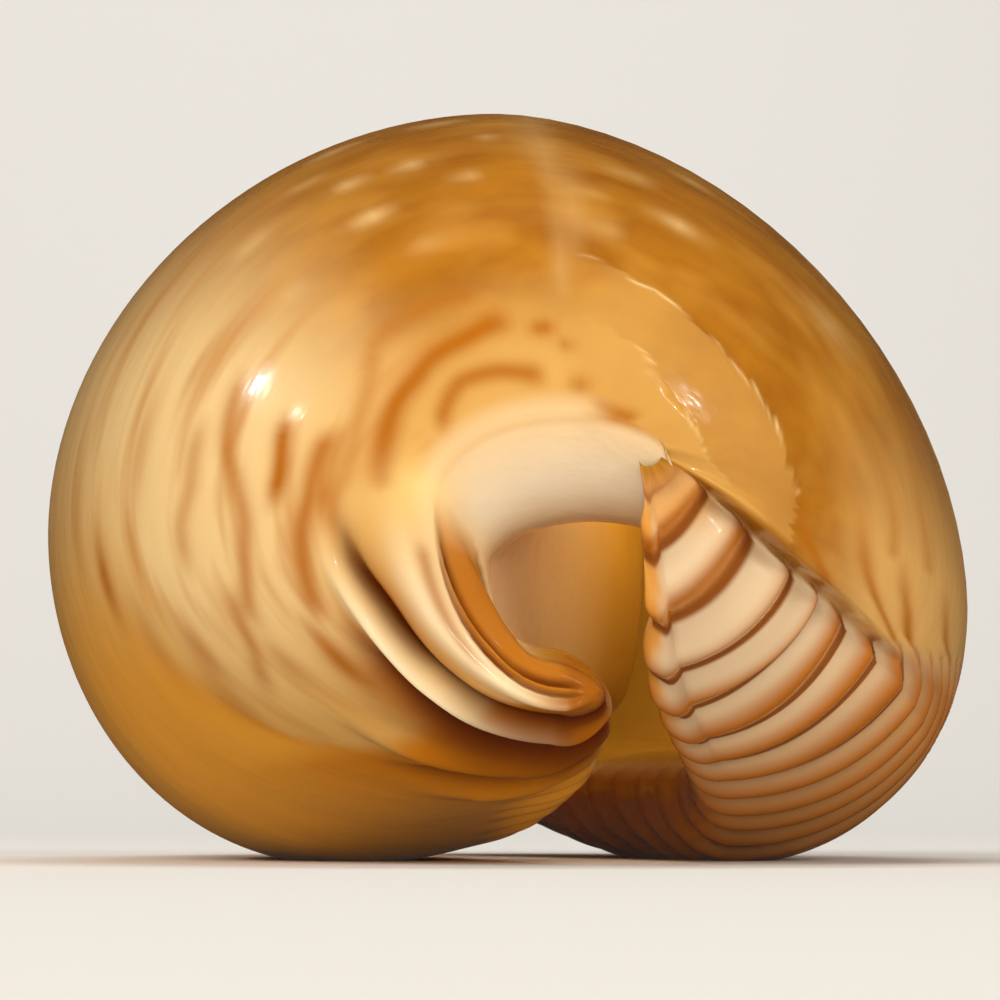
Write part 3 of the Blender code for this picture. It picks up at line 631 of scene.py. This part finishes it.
def build_shell():
    """Outside and inside grids in one closed mesh, with the colour's marks on its points."""
    turn = np.radians(spread(ROWS, 180.0))
    out_t = spread(COLUMNS, 6.0)
    in_t = out_t[::INSIDE_STEP]
    outer, inner, leant = surfaces(turn, out_t, in_t)
    rows, wide, slim = len(turn), len(out_t), len(in_t)

    # Inside points come after the outside ones; its four edges are the outside's own points
    out_index = np.arange(rows * wide).reshape(rows, wide)
    in_index = np.zeros((rows, slim), int)
    in_index[1:-1, 1:-1] = rows * wide + np.arange((rows - 2) * (slim - 2)).reshape(rows - 2, slim - 2)
    in_index[:, 0], in_index[:, -1] = out_index[:, 0], out_index[:, -1]
    in_index[0], in_index[-1] = out_index[0, ::INSIDE_STEP], out_index[-1, ::INSIDE_STEP]
    points = np.concatenate([outer.reshape(-1, 3), inner[1:-1, 1:-1].reshape(-1, 3)]) * MM

    faces = np.stack([out_index[:-1, :-1], out_index[1:, :-1], out_index[1:, 1:], out_index[:-1, 1:]],
                     -1).reshape(-1, 4).tolist()
    inside = np.stack([in_index[:-1, :-1], in_index[:-1, 1:], in_index[1:, 1:], in_index[1:, :-1]], -1)
    faces += inside[1:-1].reshape(-1, 4).tolist()
    for j in range(slim - 1):
        k = j * INSIDE_STEP
        near = out_index[0, k:k + INSIDE_STEP + 1].tolist()
        far = out_index[-1, k:k + INSIDE_STEP + 1].tolist()
        faces.append(near + [int(i) for i in (in_index[1, j + 1], in_index[1, j])
                             if i not in near])
        faces.append(far[::-1] + [int(i) for i in (in_index[-2, j], in_index[-2, j + 1])
                                  if i not in far])

    mesh = bpy.data.meshes.new("cowrie_shell")
    mesh.from_pydata(points.tolist(), [], faces)
    mesh.polygons.foreach_set("use_smooth", [True] * len(mesh.polygons))

    d = np.degrees(np.concatenate([leant.ravel(), np.repeat(turn[1:-1], slim - 2)]))
    t = np.concatenate([np.tile(out_t, rows), np.tile(in_t[1:-1], rows - 2)])
    hidden = np.concatenate([np.zeros(rows * wide), np.ones((rows - 2) * (slim - 2))])
    from_edge = np.minimum(ramp(np.minimum(d, 180 - d), 0, 3), ramp(np.minimum(t, 6 - t), 0, 0.5))
    for name, values in colour_marks(d, t, hidden * from_edge).items():
        mesh.attributes.new(name, "FLOAT", "POINT").data.foreach_set("value", values.astype(np.float32))
    wrap = np.stack([d / 10, t, 5 * hidden], -1).astype(np.float32)
    mesh.attributes.new("wrap", "FLOAT_VECTOR", "POINT").data.foreach_set("vector", wrap.ravel())
    shell = bpy.data.objects.new("cowrie_shell", mesh)
    bpy.context.collection.objects.link(shell)
    return shell


def srgb(*values):
    """A colour given as 0 to 255 values, as the linear colour that Blender uses."""
    return tuple(((v / 255 + 0.055) / 1.055) ** 2.4 if v > 10 else v / 255 / 12.92 for v in values) + (1.0,)


def shell_material():
    """Glossy shell, its colours laid over each other from the brown back to the dark furrows."""
    material = bpy.data.materials.new("shell_glaze")
    material.use_nodes = True
    tree = material.node_tree
    surface = tree.nodes["Principled BSDF"]

    def mark(name):
        """The mark of that name, from the mesh's points."""
        node = tree.nodes.new("ShaderNodeAttribute")
        node.attribute_name = name
        return node.outputs["Fac"]

    def maths(operation, a, b):
        """The operation on two values or sockets, kept between 0 and 1."""
        node = tree.nodes.new("ShaderNodeMath")
        node.operation = operation
        node.use_clamp = operation != "FRACT"
        for socket, value in zip(node.inputs, (a, b)):
            if isinstance(value, (int, float)):
                socket.default_value = value
            else:
                tree.links.new(value, socket)
        return node.outputs[0]

    def noise(stretch, detail, low, high):
        """Noise over (d, t), stretched, then spread so that low becomes 0 and high 1."""
        wrap = tree.nodes.new("ShaderNodeAttribute")
        wrap.attribute_name = "wrap"
        scaled = tree.nodes.new("ShaderNodeVectorMath")
        scaled.operation = "MULTIPLY"
        tree.links.new(wrap.outputs["Vector"], scaled.inputs[0])
        scaled.inputs[1].default_value = stretch
        node = tree.nodes.new("ShaderNodeTexNoise")
        node.inputs["Scale"].default_value = 1.0
        node.inputs["Detail"].default_value = detail
        tree.links.new(scaled.outputs[0], node.inputs["Vector"])
        contrast = tree.nodes.new("ShaderNodeMapRange")
        contrast.inputs["From Min"].default_value = low
        contrast.inputs["From Max"].default_value = high
        tree.links.new(node.outputs["Fac"], contrast.inputs["Value"])
        return contrast.outputs["Result"]

    def within(value, low, high):
        """0 below low, 1 above high."""
        node = tree.nodes.new("ShaderNodeMapRange")
        node.interpolation_type = "SMOOTHSTEP"
        node.inputs["From Min"].default_value = low
        node.inputs["From Max"].default_value = high
        tree.links.new(value, node.inputs["Value"])
        return node.outputs["Result"]

    # The ribs' brown: step runs from 0 to 1 over each rib, and the shaded underside shows less of it
    step = maths("FRACT", mark("rib"), 0)
    lined = maths("SUBTRACT", mark("pad"), maths("MULTIPLY", mark("under"), 0.55))
    lower_half = maths("MULTIPLY", within(step, 0.34, 0.72), lined)
    groove = maths("ADD", within(step, 0.76, 0.95), maths("SUBTRACT", 1.0, within(step, 0.0, 0.10)))
    groove = maths("MULTIPLY", groove, lined)

    # Each layer is a colour, the mark or noise it follows, and how strongly it covers what is below
    back = (174, 112, 26)
    layers = (
        ((146, 86, 14), noise((1.3, 4.4, 1.0), 4.0, 0.35, 0.75), 1),
        ((196, 138, 52), noise((0.9, 3.2, 1.0), 2.0, 0.48, 0.70), 0.7),
        ((226, 192, 134), mark("flank"), 1),
        ((210, 162, 88), mark("rim"), 1),
        ((182, 112, 32), maths("MULTIPLY", noise((2.0, 1.8, 1.0), 2.0, 0.50, 0.74), mark("flank")), 0.7),
        ((214, 160, 74), mark("golden"), 0.75),
        # The base's own deep orange, painted lighter as painted light from below
        ((202, 124, 8), mark("base"), 1),
        # Lighter still on the far part of the base: painted light from below
        ((236, 168, 56), mark("base_far_with_painted_light"), 1),
        ((222, 174, 102), mark("side"), 1),
        ((208, 158, 82), mark("glaze"), 0.8),
        ((240, 205, 140), mark("glaze_edge"), 1),
        ((222, 182, 118), mark("spot"), 0.8),
        ((205, 165, 105), mark("line"), 0.4),
        ((172, 100, 18), maths("MAXIMUM", mark("streak"), mark("tail")), 1),
        ((222, 188, 138), mark("roof"), 1),
        ((232, 212, 182), mark("roof_pale"), 1),
        ((222, 180, 136), mark("throat"), 1),
        ((206, 174, 118), mark("hollow"), 1),
        ((164, 118, 34), mark("deep"), 1),
        ((234, 212, 172), mark("crest"), 1),
        ((178, 108, 28), mark("orange_fold"), 1),
        # Painted highlight on the bulge at the top of the orange fold
        ((244, 212, 140), mark("painted_gold_highlight"), 0.55),
        ((156, 90, 18), mark("lip"), 1),
        ((218, 192, 156), mark("pad"), 1),
        ((186, 120, 38), mark("pad_low"), 0.8),
        ((212, 144, 46), mark("margin"), 0.9),
        # Darker orange on the pad's underside: its own colour and painted shade
        ((160, 92, 10), mark("under"), 0.9),
        ((182, 106, 24), lower_half, 1),
        ((146, 78, 8), groove, 1),
        ((158, 88, 12), mark("shade"), 1),
        ((92, 32, 2), mark("furrow"), 1),
    )
    start = tree.nodes.new("ShaderNodeRGB")
    start.outputs[0].default_value = srgb(*back)
    below = start.outputs[0]
    for colour, share, strength in layers:
        node = tree.nodes.new("ShaderNodeMix")
        node.data_type = "RGBA"
        tree.links.new(below, node.inputs["A"])
        node.inputs["B"].default_value = srgb(*colour)
        tree.links.new(share if strength == 1 else maths("MULTIPLY", share, strength), node.inputs["Factor"])
        below = node.outputs["Result"]
    tree.links.new(below, surface.inputs["Base Color"])

    # The glaze is smooth with a thin coat; the grooves are rougher and have none
    roughness, in_grooves, coat = 0.20, 0.70, 0.15
    rougher = maths("MULTIPLY", groove, in_grooves - roughness)
    tree.links.new(maths("ADD", roughness, rougher), surface.inputs["Roughness"])
    tree.links.new(maths("SUBTRACT", coat, maths("MULTIPLY", groove, coat)), surface.inputs["Coat Weight"])

    # Faint ripples along the sections
    ripples = tree.nodes.new("ShaderNodeBump")
    ripples.inputs["Strength"].default_value = 0.25
    ripples.inputs["Distance"].default_value = 0.06 * MM
    tree.links.new(noise((3.0, 5.0, 1.0), 2.0, 0.2, 0.8), ripples.inputs["Height"])
    tree.links.new(ripples.outputs["Normal"], surface.inputs["Normal"])
    tree.links.new(ripples.outputs["Normal"], surface.inputs["Coat Normal"])
    surface.inputs["Subsurface Weight"].default_value = 0.25
    surface.inputs["Subsurface Radius"].default_value = (1.0, 0.5, 0.25)
    surface.inputs["Subsurface Scale"].default_value = 0.15 * MM
    surface.inputs["IOR"].default_value = 1.42
    surface.inputs["Coat Roughness"].default_value = 0.05
    return material


shell = build_shell()
shell.data.materials.append(shell_material())
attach(shell, "root")
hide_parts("shell")

add_camera()
add_floor()
# Two wide soft boxes light the shell evenly; small ones give the short glints of its glaze
add_light("key", (-0.16, -0.19, 0.20), 0.18, 0.56, (1.0, 0.95, 0.87), glossy=False)
add_light("fill", (0.24, -0.16, 0.12), 0.20, 0.42, (1.0, 0.94, 0.84), glossy=False)
add_light("low", (-0.04, -0.30, 0.03), 0.10, 0.37, (1.0, 0.90, 0.74), glossy=False)
add_light("backdrop", (0.0, 0.12, 0.42), 0.25, 1.2, aim=Vector((0.0, 0.40, 0.12)), glossy=False)
add_light("glint_left", (-0.202, 0.012, 0.140), 0.016, 0.06)
add_light("glint_upper", (-0.19, -0.075, 0.118), 0.010, 0.015)
add_light("glint_front", (0.10, -0.17, 0.11), 0.010, 0.03)
add_glow("through_back", (4.7, -9.2, 9.2), 0.0014)
add_glow("through_back_far", (3.0, 5.0, 7.5), 0.0009)
add_sky()
bpy.context.scene.view_settings.view_transform = "Standard"
